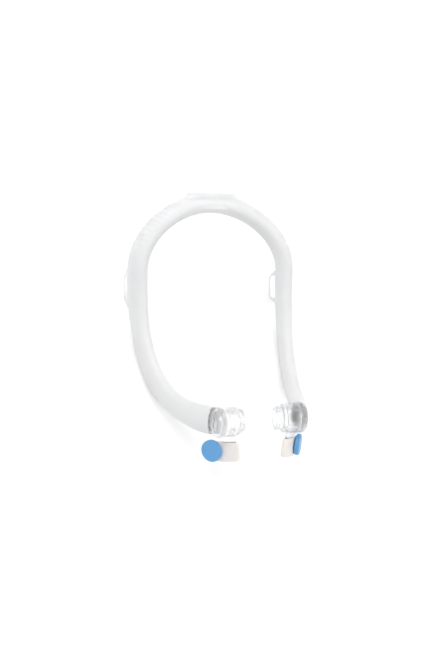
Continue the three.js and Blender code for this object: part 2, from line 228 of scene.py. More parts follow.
def line_point(distance):
    """Point of the centre line at a distance from the crown, positive to the wearer's left."""
    along = np.abs(distance)
    point = np.stack([np.interp(along, half_steps, half_line[:, k]) for k in range(3)], axis=-1)
    return point * np.where(np.asarray(distance)[..., None] < 0, (-1, 1, 1), (1, 1, 1))


def line_frame(distance):
    """Centre, side direction and outward direction of the tube's section at each distance."""
    distance = np.asarray(distance, dtype=float)
    side_sign = np.where(distance < 0, -1.0, 1.0)
    along = np.abs(distance)
    near = np.minimum(along, HALF_LENGTH - TANGENT_STOP) * side_sign
    tangent = unit(line_point(near + TANGENT_STEP) - line_point(near - TANGENT_STEP))
    quarter = np.minimum(1, along / ARCH_LENGTH) * math.pi / 2
    ahead = smooth(along, CUFF_FROM, HALF_LENGTH)
    outward = np.stack([np.sin(quarter) * side_sign, np.cos(quarter), ahead], axis=-1)
    outward = unit(outward - (outward * tangent).sum(-1, keepdims=True) * tangent)
    twist = TWIST_ANGLE * smooth(along, 0, TWIST_LENGTH) * (1 - smooth(along, CUFF_FROM, CUFF_TO))
    turned = np.cos(twist)[..., None] * outward + np.sin(twist)[..., None] * np.cross(tangent, outward)
    return line_point(distance), np.cross(tangent, turned), turned


def section_at(distance):
    """Half width and half depth of the outside, blended from the arch to the cheek to the cuff."""
    along = np.abs(distance)
    narrow, cuff = smooth(along, NARROW_FROM, NARROW_TO), smooth(along, CUFF_FROM, CUFF_TO)
    sizes = []
    for wide, slim, end in zip(ARCH_SECTION, CHEEK_SECTION, CUFF_SECTION):
        sizes.append(((wide + (slim - wide) * narrow) * (1 - cuff) + end * cuff) / 2)
    return sizes


print("line from crown to elbow:", round(HALF_LENGTH, 1), "mm, arch:", round(ARCH_LENGTH, 1), "mm")

# %% [markdown]
# ## The silicone tube
#
# The tube is one hollow moulding. Its outside is a ring of points carried along the line, and
# the outer face of the arch has fine cross ribs. The ribs are real relief: each one is a rounded
# pad, just under a millimetre high, with a narrow groove beside it.

# %% Rings of the tube, with the ribs of the arch
RIB_PITCH, RIB_HEIGHT, RIB_FIRST, RIB_LAST = 5.0, 0.9, 26.0, 104.0
RIB_SPREAD, RIB_SLANT, RIB_STEP = (0.85, 1.3), 1.6, 0.4
RIB_BEFORE, RIB_RISE, RIB_FADE, PLAIN_MARGIN = 1.0, 4.0, 30.0, 2.0


def rib_height(distance, angle):
    """Pads 1 - |2u - 1|^3 high over each pitch, faded at both ends and down the sides."""
    along = np.abs(distance)
    from_top = np.abs(angle - math.pi / 2)
    phase = (along - RIB_FIRST + RIB_SLANT * from_top) / RIB_PITCH % 1.0
    pad = 1 - np.abs(2 * phase - 1) ** 3
    start = smooth(along, RIB_FIRST - RIB_BEFORE, RIB_FIRST + RIB_RISE)
    end = 1 - smooth(along, RIB_LAST - RIB_FADE, RIB_LAST)
    return RIB_HEIGHT * pad * start * end * (1 - smooth(from_top, *RIB_SPREAD))


def tube_rings(distance, inset=0.0, columns=96, ribs=False):
    """Ring point = centre + width cos(a) side + depth sin(a) outward, for each angle a."""
    angle = np.linspace(0, 2 * math.pi, columns, endpoint=False)
    centre, side, outward = line_frame(distance)
    width, depth = section_at(distance)
    across = (width - inset)[:, None] * np.cos(angle)
    out = (depth - inset)[:, None] * np.sin(angle)
    if ribs:
        out = out + rib_height(distance[:, None], angle[None, :]) * np.sin(angle)
    return centre[:, None] + across[..., None] * side[:, None] + out[..., None] * outward[:, None]


print("ribs on each side of the crown:", round((RIB_LAST - RIB_FIRST) / RIB_PITCH))

# %% [markdown]
# ## The collar and the strap tabs
#
# On the crown the tube widens into a flat oval collar, where the hose elbow plugs in. Behind
# each ear a thin tab reaches back with a slot for the upper strap. A tab is a ring of rings
# round its slot: each ring goes over the tab's edge and back through the slot.

# %% Collar, port and tabs
COLLAR_LENGTH, COLLAR_DEPTH, COLLAR_FLARE, COLLAR_SINK = 48.0, 27.0, 6.0, 9.0
COLLAR_SPREAD, COLLAR_TAPER, COLLAR_EDGE = 8.0, 2.8, 0.5
PORT_LENGTH, PORT_DEPTH = 34.0, 18.0
PORT_FLARE = ((0.0, 1.0), (0.25, 0.5), (0.6, 0.2), (1.0, 0.0))
TAB_TOP, TAB_BOTTOM, TAB_REACH, TAB_THICKNESS = 163.0, 125.5, 34.4, 1.2
TAB_LEAN, TAB_OFFSET, TAB_CORNER, TAB_SHOULDER, TAB_TIP_HALF = 0.12, 5.2, 5.0, 17.0, 13.0
TAB_SWELL, TAB_SWELL_FROM, TAB_SWELL_TO = 1.3, -14.0, -6.0
SLOT_HEIGHT, SLOT_WIDTH, SLOT_STRIP, SLOT_CORNER = 20.6, 12.0, 2.2, 3.5


def collar_object():
    """Oval rings whose half length grows and half depth shrinks with the square of the depth."""
    edge = np.linspace(0, math.pi / 2, 6)
    side = np.linspace(COLLAR_EDGE, COLLAR_FLARE + COLLAR_SINK, 24)[1:]
    below = np.concatenate([COLLAR_EDGE * (1 - np.cos(edge)), side])
    pull = np.concatenate([COLLAR_EDGE * (1 - np.sin(edge)), np.zeros(len(side))])
    flare = np.minimum(1, below / COLLAR_FLARE) ** 2
    angle = np.linspace(0, 2 * math.pi, 128, endpoint=False)
    across = (COLLAR_LENGTH / 2 + COLLAR_SPREAD * flare - pull)[:, None] * np.cos(angle)
    along = (COLLAR_DEPTH / 2 - COLLAR_TAPER * flare - pull)[:, None] * np.sin(angle)
    height = np.broadcast_to((COLLAR_TOP - below)[:, None], across.shape)
    return capped("collar", np.stack([across, height, along], axis=-1))


def port_object():
    """Oval rod through the collar, flared over the first millimetre of its depth."""
    depth, flare = np.array(PORT_FLARE).T
    below = np.concatenate([[-MARGIN], depth, [COLLAR_FLARE + COLLAR_SINK - MARGIN]])
    flare = np.concatenate([flare[:1], flare, flare[-1:]])
    angle = np.linspace(0, 2 * math.pi, 96, endpoint=False)
    across = (PORT_LENGTH / 2 + flare)[:, None] * np.cos(angle)
    along = (PORT_DEPTH / 2 + flare)[:, None] * np.sin(angle)
    height = np.broadcast_to((COLLAR_TOP - below)[:, None], across.shape)
    return capped("port", np.stack([across, height, along], axis=-1))


def cross_flat(a, b):
    """Cross product of flat vectors: a x times b y, less a y times b x."""
    return a[..., 0] * b[..., 1] - a[..., 1] * b[..., 0]


def reach_to(outline, direction):
    """Distance from the origin to a closed outline along each direction, by crossing its edges."""
    tiny, slack = 1e-9, 1e-6
    start, edge, direction = outline[None], (np.roll(outline, -1, axis=0) - outline)[None], direction[:, None]
    cross = cross_flat(direction, edge)
    cross = np.where(np.abs(cross) < tiny, tiny, cross)
    reach, share = cross_flat(start, edge) / cross, cross_flat(start, direction) / cross
    hit = (share >= -slack) & (share <= 1 + slack) & (reach > 0)
    return np.where(hit, reach, np.inf).min(axis=1)


def rounded_rectangle(width, height, corner, steps=8):
    """Corner points: a quarter circle round each corner's centre, counter-clockwise."""
    points = []
    for k, (x, y) in enumerate(((1, -1), (1, 1), (-1, 1), (-1, -1))):
        angle = np.linspace(-math.pi / 2, 0, steps) + k * math.pi / 2
        centre = np.array((x * (width / 2 - corner), y * (height / 2 - corner)))
        points.append(centre + corner * np.stack([np.cos(angle), np.sin(angle)], axis=1))
    return np.vstack(points)


def bow(start, control, end, steps=12):
    """Quadratic Bezier curve: (1-t)^2 start + 2t(1-t) control + t^2 end."""
    t = np.linspace(0, 1, steps)[:, None]
    start, control, end = np.array(start), np.array(control), np.array(end)
    return (1 - t) ** 2 * start + 2 * t * (1 - t) * control + t * t * end


def tab_outline():
    """Narrow back edge, round corners, then sloping edges that widen towards the tube."""
    half = (TAB_TOP - TAB_BOTTOM) / 2
    shoulder, corner_start = TAB_REACH - TAB_SHOULDER, TAB_REACH - TAB_CORNER
    slope = (half - TAB_TIP_HALF) / (TAB_SHOULDER - TAB_CORNER)
    peak = TAB_TIP_HALF - slope * TAB_CORNER
    upper = np.vstack([
        bow((-TAB_REACH, peak - TAB_CORNER), (-TAB_REACH, peak), (-corner_start, TAB_TIP_HALF)),
        bow((-shoulder, half), (-shoulder / 2, half), (0, half + TAB_CORNER))])
    return np.vstack([upper[::-1] * (1, -1), upper])


def tab_object(sign):
    """Rings round the slot: round the rim, in over one face, through the slot, out over the other."""
    angle = np.linspace(0, 2 * math.pi, 200, endpoint=False)
    direction = np.stack([np.cos(angle), np.sin(angle)], axis=1)
    slot_middle = np.array((SLOT_STRIP + SLOT_WIDTH / 2 - TAB_REACH, 0))
    inner = reach_to(rounded_rectangle(SLOT_WIDTH, SLOT_HEIGHT, SLOT_CORNER), direction)
    outer = reach_to(tab_outline() - slot_middle, direction)
    half = TAB_THICKNESS / 2
    rim = np.linspace(-math.pi / 2, math.pi / 2, 9)
    faces = np.linspace(0, 1, 15)[1:-1]
    inwards, outwards = inner + 2 * half - outer, outer - 2 * half - inner
    rings = [(outer - half + half * np.cos(turn), half * np.sin(turn)) for turn in rim]
    rings += [(outer - half + inwards * part, half) for part in faces]
    rings += [(inner + half - half * np.cos(turn), half * np.sin(turn)) for turn in rim[::-1]]
    rings += [(inner + half + outwards * part, -half) for part in faces]
    radius = np.array([ring[0] for ring in rings])
    lift = np.array([ring[1] for ring in rings])[:, None]
    flat = slot_middle + radius[..., None] * direction
    lift = lift * (1 + TAB_SWELL * smooth(flat[..., 0], TAB_SWELL_FROM, TAB_SWELL_TO))
    middle = (TAB_TOP + TAB_BOTTOM) / 2
    root = line_point(np.array(ARCH_LENGTH + EAR_HEIGHT - middle))
    across = root[0] + TAB_OFFSET + math.sin(TAB_LEAN) * flat[..., 0] - math.cos(TAB_LEAN) * lift
    back = root[2] + math.cos(TAB_LEAN) * flat[..., 0] + math.sin(TAB_LEAN) * lift
    return ring_of_rings("tab", np.stack([sign * across, middle + flat[..., 1], back], axis=-1))


print("strap slot:", SLOT_WIDTH, "by", SLOT_HEIGHT, "mm; port:", PORT_LENGTH, "by", PORT_DEPTH, "mm")

# %% [markdown]
# ## One moulding
#
# The collar and the tabs are joined to the tube, and then the air way and the port are cut. The
# rings of the tube stand closer together along the ribs than on the plain cheeks.


# %% Tube, collar and tabs joined, then the air way and the port cut
def silicone_tube():
    """Outside rings from one end to the other, the joined forms, and the two cuts."""
    ribs_start = RIB_FIRST - PLAIN_MARGIN
    half = np.concatenate([np.linspace(0, ribs_start, 12)[1:-1],
                           np.arange(ribs_start, RIB_LAST + 1, RIB_STEP),
                           np.linspace(RIB_LAST + PLAIN_MARGIN, TUBE_END, 92)])
    body = capped("silicone_loop", tube_rings(np.concatenate([-half[::-1], [0], half]), ribs=True))
    combine(body, [collar_object(), tab_object(1), tab_object(-1)], "UNION")
    air_end = TUBE_END + MARGIN
    air = capped("air_way", tube_rings(np.linspace(-air_end, air_end, 260), WALL, columns=64))
    combine(body, [air, port_object()], "DIFFERENCE")
    return smoothed(body)


tube = silicone_tube()
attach(tube, "frame")
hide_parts("silicone_tube")
print("silicone tube faces:", len(tube.data.polygons))

# %% [markdown]
# ## The clear elbow connectors
#
# Each connector is a clear moulding: a neck that continues the tube, a spigot inside the tube, a
# round housing with its axis from cheek to nose, an outlet with a ring and a slit snap rim, and a
# thin hanger plate for the clip. Turned parts come from a profile of radius and height.

# %% Sizes of the connector, in mm
OUTLET_TURN = 0.2
HOUSING_RADIUS, HOUSING_OUTER, HOUSING_INNER = 12.8, 11.0, 7.4
HOUSING_ROUND, HOUSING_WALL, CHAMBER_SOFT = 4.2, 1.6, 0.9
BAND_RADIUS, BAND_WIDTH = 12.2, 2.2
NECK_RADIUS, NECK_STEP, RIM_RADIUS, RIM_WIDTH = 9.2, 2.4, 10.4, 3.4
OUTLET_BORE, OUTLET_SLIT, SLIT_LIFT, EDGE, AXIS_HOLE = 15.6, 2.4, 0.6, 0.8, 0.5
SPIGOT_INSERT, SPIGOT_WALL, NECK_LENGTH, RECESS_RADIUS = 10.0, 1.3, 9.0, 10.4
CUFF_CLEAR, RECESS_DEPTH, BORE_BEFORE, BORE_STOP = 30.0, 20.0, 1.0, 0.7
BUTTON_HEIGHT, BUTTON_WIDTH, BUTTON_THICKNESS = 18.0, 13.0, 3.2
BUTTON_PROUD, BUTTON_TRAVEL, BUTTON_EDGE, BUTTON_CHAMFER, BUTTON_DISH = 0.9, 1.2, 0.7, 0.3, 0.25
GRIP_HEIGHT, GRIP_SPREAD, GRIP_SWING, GRIP_WAVE = 0.5, 0.45, 0.9, 0.75
GRIP_HALF_WIDTH, GRIP_HALF_LENGTH, GRIP_FADE = 0.5, 7.0, (-7.5, -6.0)
OVAL_COLUMNS = 72
POCKET_DEPTH = BUTTON_THICKNESS - BUTTON_PROUD + BUTTON_TRAVEL + GAP
outlet_axis = np.array((-math.cos(OUTLET_TURN), 0, -math.sin(OUTLET_TURN)))
WORN_UP = np.array((0, 1.0, 0))
outlet_side = np.cross(WORN_UP, outlet_axis)


def at_outlet(local, sign):
    """Point = elbow + x side + y up + z outlet axis, mirrored to the wearer's right for sign -1."""
    x, y, z = local[..., :1], local[..., 1:2], local[..., 2:]
    return (ELBOW + x * outlet_side + y * WORN_UP + z * outlet_axis) * (sign, 1, 1)


def turned(profile, columns=96):
    """Ring k has the radius and the height of profile point k, round the local z axis."""
    angle = np.linspace(0, 2 * math.pi, columns, endpoint=False)
    radius, height = np.array(profile, dtype=float).T
    across, along = radius[:, None] * np.cos(angle), radius[:, None] * np.sin(angle)
    return np.stack([across, along, np.broadcast_to(height[:, None], across.shape)], axis=2)


def soften(profile, radius=0.35, steps=4):
    """Profile whose inner corners are replaced by short arcs through a quadratic Bezier curve."""
    points = np.array(profile, dtype=float)
    result = [points[0]]
    for before, corner, after in zip(points[:-2], points[1:-1], points[2:]):
        back, ahead = before - corner, after - corner
        cut = min(radius, 0.45 * np.linalg.norm(back), 0.45 * np.linalg.norm(ahead))
        result.extend(bow(corner + cut * unit(back), corner, corner + cut * unit(ahead), steps))
    return np.array(result + [points[-1]])


def layer(outline, height):
    """Flat outline as points at a height along the local z axis."""
    return np.column_stack([outline, np.broadcast_to(height, len(outline))])


def prism(outline, low, high):
    """Outline repeated at the heights low and high along the local z axis."""
    return np.stack([layer(outline, low), layer(outline, high)])


def oval(clearance):
    """Ellipse of the release button, grown by a clearance."""
    angle = np.linspace(0, 2 * math.pi, OVAL_COLUMNS, endpoint=False)
    wide, tall = BUTTON_WIDTH / 2 + clearance, BUTTON_HEIGHT / 2 + clearance
    return np.stack([wide * np.cos(angle), tall * np.sin(angle)], axis=1)


print("outlet axis, as worn:", outlet_axis.round(3), "pocket depth:", round(POCKET_DEPTH, 2), "mm")

# %% [markdown]
# ## The housing
#
# The drum, its ring, the neck and the snap rim are one turned profile, and the air chamber
# behind the button is another. Short arcs soften every corner, so the clear plastic has soft
# highlights on its edges.

# %% The housing and its cuts
BAND_END = HOUSING_INNER + BAND_WIDTH
NECK_END = BAND_END + NECK_STEP
RIM_END = NECK_END + RIM_WIDTH


def housing_profile():
    """From the middle of the outer face, round the drum, the ring, the neck and the snap rim."""
    corner = np.linspace(0, math.pi / 2, 8)
    rounded = np.stack([HOUSING_RADIUS - HOUSING_ROUND + HOUSING_ROUND * np.sin(corner),
                        HOUSING_ROUND - HOUSING_OUTER - HOUSING_ROUND * np.cos(corner)], axis=1)
    steps = [(HOUSING_RADIUS, HOUSING_INNER - EDGE), (BAND_RADIUS - EDGE, HOUSING_INNER - EDGE / 2),
             (BAND_RADIUS, HOUSING_INNER), (BAND_RADIUS, BAND_END), (NECK_RADIUS, BAND_END + EDGE / 2),
             (NECK_RADIUS, NECK_END), (RIM_RADIUS, NECK_END + EDGE), (RIM_RADIUS, RIM_END - EDGE),
             (RIM_RADIUS - EDGE, RIM_END), (OUTLET_BORE / 4, RIM_END)]
    return soften(np.vstack([[(AXIS_HOLE, -HOUSING_OUTER)], rounded, steps]))


def air_profile():
    """Chamber behind the button's pocket, narrowing to the bore of the outlet."""
    floor = POCKET_DEPTH + HOUSING_WALL - HOUSING_OUTER
    chamber = HOUSING_RADIUS - HOUSING_WALL
    return soften([(AXIS_HOLE, floor), (chamber, floor), (chamber, HOUSING_INNER - HOUSING_WALL),
                   (OUTLET_BORE / 2, HOUSING_INNER + EDGE), (OUTLET_BORE / 2, RIM_END + MARGIN),
                   (AXIS_HOLE, RIM_END + MARGIN)], CHAMBER_SOFT)


def rod_along_tube(start, end, inset, sign, rows=14, columns=80):
    """Rings of the tube's own section between two distances from the crown."""
    return tube_rings(sign * np.linspace(start, end, rows), inset, columns)


print("housing, from outer face to rim:", round(HOUSING_OUTER + RIM_END, 1), "mm")

# %% [markdown]
# ## The clip's own frame
#
# The clip stands under the elbow on a gentle bend and leans out a little at the top. Its pieces
# are drawn in a frame of their own, x backwards, y up and z outwards from the cheek, and one
# function places them. The hanger plate of the connector uses the same frame, so it fits.

# %% Sizes and placing of the clip
DISC_AT = np.array((40.5, 9.7, 94.7))
DISC_DIAMETER, DISC_THICKNESS, DISC_ROUND = 18.6, 4.0, 1.3
DISC_BACK_EDGE, DISC_DISH, DISC_DISH_STEP, DISC_DISH_RUN = 0.5, 0.15, 0.12, 1.0
CLIP_FACING, CLIP_TILT, CLIP_HEIGHT, CLIP_THICKNESS = 0.953, 0.12, 16.6, 4.4
CLIP_REACH, CLIP_BEND, CLIP_CORNER, CLIP_ROUND, CLIP_EDGE = 22.0, 41.0, 4.0, 1.4, 1.3
HANGER_ALONG, HANGER_FOOT, HANGER_BACK, HANGER_THICKNESS = 14.0, 6.0, 15.0, 2.0
HANGER_RISE, HANGER_TIP, HANGER_TOP, HANGER_EDGE = 5.0, 7.0, 8.0, 0.3
TONGUE_LENGTH, TONGUE_DEPTH, TONGUE_CORNER, TONGUE_MARGIN = 10.0, 6.0, 0.5, 3.0


def rotated(a, b, angle):
    """Flat turn: a cos - b sin, and a sin + b cos."""
    return a * math.cos(angle) - b * math.sin(angle), a * math.sin(angle) + b * math.cos(angle)


def at_clip(local, sign):
    """Lean about x by the tilt, turn about y by the facing, then move to the disc's middle."""
    seat = DISC_THICKNESS / 2 + GAP + CLIP_THICKNESS / 2
    y, z = rotated(local[..., 1] - DISC_AT[1], local[..., 2] - seat, CLIP_TILT)
    z, x = rotated(z, local[..., 0], CLIP_FACING)
    return (np.stack([x, y, z], axis=-1) + DISC_AT) * (sign, 1, 1)


def along_clip(local, along):
    """Turn and move from the disc's axis to a distance in front of it, round the bend."""
    angle = along / CLIP_BEND
    x, z = rotated(local[..., 0], local[..., 2], angle)
    x, z = x - CLIP_BEND * math.sin(angle), z + CLIP_BEND * (math.cos(angle) - 1)
    return np.stack([x, local[..., 1], z], axis=-1)


def hanger_outline():
    """Trapezoid plate above the clip with a narrower tongue below it, counter-clockwise."""
    foot, tip = CLIP_HEIGHT + GAP, CLIP_HEIGHT - TONGUE_DEPTH
    half = TONGUE_LENGTH / 2
    return np.array([(half, tip), (half, foot), (HANGER_FOOT, foot), (HANGER_BACK, foot + HANGER_RISE),
                     (HANGER_BACK, foot + HANGER_TIP), (-HANGER_FOOT, foot + HANGER_TOP),
                     (-HANGER_FOOT, foot), (-half, foot), (-half, tip)])


def hanger_plate():
    """Outline at four heights; the first and the last are drawn in for a rounded edge."""
    outline = hanger_outline()
    middle = outline.mean(axis=0)
    small = middle + (outline - middle) * (1 - HANGER_EDGE / HANGER_TOP)
    half = HANGER_THICKNESS / 2
    return np.stack([layer(small, -half), layer(outline, HANGER_EDGE - half),
                     layer(outline, half - HANGER_EDGE), layer(small, half)])


print("hanger and tongue:", round(HANGER_TOP + GAP + TONGUE_DEPTH, 1), "mm tall")

# %% [markdown]
# ## The connector
#
# The outside is joined first, then the room for the cuff is cut away, the spigot is added inside
# it, and the air way is cut last, so that it runs through everything.

# %% The connector
def connector(sign, name):
    """Outside, neck and hanger joined, the cuff's room cut, the spigot added, the air way cut."""
    body = capped(name, at_outlet(turned(housing_profile()), sign))
    neck = capped("neck", rod_along_tube(TUBE_END + GAP, TUBE_END + NECK_LENGTH, 0, sign))
    hanger = capped("hanger", at_clip(along_clip(hanger_plate(), HANGER_ALONG), sign))
    combine(body, [neck, hanger], "UNION")
    recess = [(AXIS_HOLE, -HOUSING_OUTER - RECESS_DEPTH), (RECESS_RADIUS, -HOUSING_OUTER - RECESS_DEPTH),
              (RECESS_RADIUS, -HOUSING_OUTER), (AXIS_HOLE, -HOUSING_OUTER)]
    cuff_room = rod_along_tube(TUBE_END - CUFF_CLEAR, TUBE_END + GAP, -GAP, sign)
    combine(body, [capped("recess", at_outlet(turned(recess), sign)), capped("cuff_room", cuff_room)],
            "DIFFERENCE")
    spigot_start, spigot_inset = TUBE_END - SPIGOT_INSERT, WALL + GAP
    spigot = rod_along_tube(spigot_start, TUBE_END + NECK_LENGTH, spigot_inset, sign)
    combine(body, [capped("spigot", spigot)], "UNION")
    bore_inset = spigot_inset + SPIGOT_WALL
    bore = rod_along_tube(spigot_start - BORE_BEFORE, HALF_LENGTH - BORE_STOP, bore_inset, sign)
    combine(body, [capped("chamber", at_outlet(turned(air_profile()), sign)), capped("bore", bore)],
            "DIFFERENCE")
    slit = np.array([(-2, -0.5), (2, -0.5), (2, 0.5), (-2, 0.5)]) * (RIM_RADIUS, OUTLET_SLIT)
    slits = prism(slit, BAND_END + SLIT_LIFT, RIM_END + MARGIN)
    pocket = prism(oval(GAP), -HOUSING_OUTER - MARGIN, POCKET_DEPTH - HOUSING_OUTER)
    combine(body, [capped("pocket", at_outlet(pocket, sign)), capped("slits", at_outlet(slits, sign))],
            "DIFFERENCE")
    return smoothed(body, 30)


print("spigot:", SPIGOT_INSERT, "mm inside the cuff")

# %% [markdown]
# ## The release button
#
# The button is an oval in the outer face of the housing. Its face is slightly hollow, with one
# wavy raised line down the middle as a grip, which is greyer than the rest.


# %% The release button
def grip_wave(up):
    """Sideways place of the grip line: swing times the sine of the height."""
    return GRIP_SWING * np.sin(up * GRIP_WAVE)


def button(sign, name):
    """Oval rings: chamfer, rounded rim, then a hollow face with the grip line on it."""
    face = -HOUSING_OUTER - BUTTON_PROUD
    back = face + BUTTON_THICKNESS
    grid = [layer(oval(-BUTTON_CHAMFER), back), layer(oval(0), back - BUTTON_CHAMFER)]
    for turn in np.linspace(0, math.pi / 2, 6):
        inset, depth = BUTTON_EDGE * (1 - math.cos(turn)), BUTTON_EDGE * (1 - math.sin(turn))
        grid.append(layer(oval(-inset), face + depth))
    for share in np.linspace(1, 0.02, 26)[1:]:
        flat = oval(-BUTTON_EDGE) * share
        from_line = (flat[:, 0] - grip_wave(flat[:, 1])) / GRIP_SPREAD
        rib = GRIP_HEIGHT * np.exp(-from_line ** 2) * smooth(-np.abs(flat[:, 1]), *GRIP_FADE)
        grid.append(layer(flat, face + BUTTON_DISH * (1 - share ** 2) - rib))
    grid = np.array(grid)
    piece = capped(name, at_outlet(grid, sign))
    mark_grip(piece, grid, face)
    return smoothed(piece, 50)


def mark_grip(piece, grid, face):
    """Gives the second material slot to the faces whose middle lies on the grip line."""
    middle = grid[:-1] + grid[1:]
    middle = ((middle + np.roll(middle, -1, axis=1)) / 4).reshape(-1, 3)
    from_line = np.abs(middle[:, 0] - grip_wave(middle[:, 1]))
    on_front = (np.abs(middle[:, 1]) < GRIP_HALF_LENGTH) & (middle[:, 2] < face + BUTTON_PROUD)
    slots = np.zeros(len(piece.data.polygons), dtype=np.int32)
    slots[:len(middle)] = on_front & (from_line < GRIP_HALF_WIDTH)
    piece.data.materials.append(None)
    piece.data.materials.append(None)
    piece.data.polygons.foreach_set("material_index", slots)


print("button:", BUTTON_WIDTH, "by", BUTTON_HEIGHT, "mm, travel", BUTTON_TRAVEL, "mm")

# %% [markdown]
# ## The clip and the disc
#
# The clip is a rounded band on a gentle bend, half round at the rear and with two rounded
# corners in front, and the disc is a turned piece with a slightly hollow face.


# %% The clip and the disc
def arc_height(distance, radius):
    """Height of a circle above its lowest point at a distance in from its rim, up to its radius."""
    return np.sqrt(np.maximum(radius ** 2 - (radius - np.minimum(distance, radius)) ** 2, 0))


def clip_band(sign, name):
    """Rounded rectangle carried along the bend; its height follows the round rear and front ends."""
    rear, half, straight = DISC_DIAMETER / 2, CLIP_HEIGHT / 2, CLIP_REACH - CLIP_CORNER
    ends = np.concatenate([-rear * np.cos(np.linspace(0, math.pi / 2, 16)),
                           np.linspace(0, straight, 18)[1:],
                           straight + CLIP_CORNER * np.sin(np.linspace(0, math.pi / 2, 10))[1:]])
    from_rear, from_front = ends + rear, CLIP_REACH - ends
    corner = half - CLIP_CORNER + arc_height(from_front, CLIP_CORNER)
    tall = np.maximum(np.minimum(arc_height(from_rear, half), corner), 0.5)
    from_end = np.minimum(np.minimum(from_rear, from_front), CLIP_ROUND) / CLIP_ROUND
    thick = CLIP_THICKNESS / 2 * np.sqrt(np.clip(1 - (1 - from_end) ** 2, 0.16, 1))
    rows = []
    for along, height, depth in zip(ends, tall, thick):
        section = rounded_rectangle(2 * depth, 2 * height, min(CLIP_EDGE, 0.9 * depth, 0.9 * height))
        local = np.column_stack([np.zeros(len(section)), half + section[:, 1], section[:, 0]])
        rows.append(along_clip(local, along) if along > 0 else local + (-along, 0, 0))
    body = capped(name, at_clip(np.array(rows), sign))
    slot = rounded_rectangle(TONGUE_LENGTH + 2 * GAP, HANGER_THICKNESS + 2 * GAP, TONGUE_CORNER)
    heights = CLIP_HEIGHT - TONGUE_DEPTH - GAP, CLIP_HEIGHT + TONGUE_MARGIN
    walls = np.stack([layer(slot, height)[:, (0, 2, 1)] for height in heights])
    combine(body, [capped("tongue_slot", at_clip(along_clip(walls, HANGER_ALONG), sign))], "DIFFERENCE")
    return smoothed(body)


def magnet_disc(sign, name):
    """Turned disc: flat back, straight rim, quarter round and a slightly dished face."""
    radius, half = DISC_DIAMETER / 2, DISC_THICKNESS / 2
    flat = radius - DISC_ROUND
    turn = np.linspace(0, math.pi / 2, 8)
    rim = np.stack([flat + DISC_ROUND * np.cos(turn), half - DISC_ROUND + DISC_ROUND * np.sin(turn)], axis=1)
    back = [(AXIS_HOLE, -half), (radius - DISC_BACK_EDGE, -half), (radius, DISC_BACK_EDGE - half)]
    inner = [(flat - DISC_DISH_RUN / 2, half - DISC_DISH_STEP), (flat - DISC_DISH_RUN, half - DISC_DISH),
             (AXIS_HOLE, half - DISC_DISH)]
    profile = np.vstack([back, rim, inner])
    seat = CLIP_THICKNESS / 2 + GAP + half
    return smoothed(capped(name, at_clip(turned(profile) + (0, DISC_AT[1], seat), sign)), 40)


print("clip:", CLIP_HEIGHT, "mm tall; disc:", DISC_DIAMETER, "mm wide")

# %% [markdown]
# ## Both sides
#
# Every piece is made once for each side.

# %% Pieces of both sides
pieces = {"tube": [tube], "clear": [], "button": [], "band": [], "disc": []}
for side_name, sign in (("left", 1), ("right", -1)):
    makers = ((connector, "connector", "clear_plastic", "frame", "clear"),
              (button, "release_button", "button_plastic", f"button_{side_name}", "button"),
              (clip_band, "magnet_clip", "beige_plastic", "frame", "band"),
              (magnet_disc, "magnet_disc", "blue_plastic", "frame", "disc"))
    for make, node, slot_name, body_name, group in makers:
        piece = make(sign, f"{node}_{side_name}_shape")
        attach(piece, body_name)
        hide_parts(f"{node}_{side_name}")
        pieces[group].append(piece)
        print(piece.name, "faces:", len(piece.data.polygons))

# %% [markdown]
# ## Shader expressions
#
# A material is a small network of nodes. Written as Python expressions it reads like a formula:
# a wrapped socket can be added, subtracted and multiplied, and each step adds one Math node.


# %% A socket that does arithmetic, and a material that adds nodes
class Value:
    """One output socket; + - and * on it add Math nodes to the same material."""

    def __init__(self, paint, socket):
        self.paint, self.socket = paint, socket

    def _math(self, operation, first, second):
        return self.paint.node("ShaderNodeMath", {"operation": operation}, {0: first, 1: second})

    def __add__(self, other):
        return self._math("ADD", self, other)

    def __radd__(self, other):
        return self._math("ADD", other, self)

    def __sub__(self, other):
        return self._math("SUBTRACT", self, other)

    def __rsub__(self, other):
        return self._math("SUBTRACT", other, self)

    def __mul__(self, other):
        return self._math("MULTIPLY", self, other)

    def __rmul__(self, other):
        return self._math("MULTIPLY", other, self)


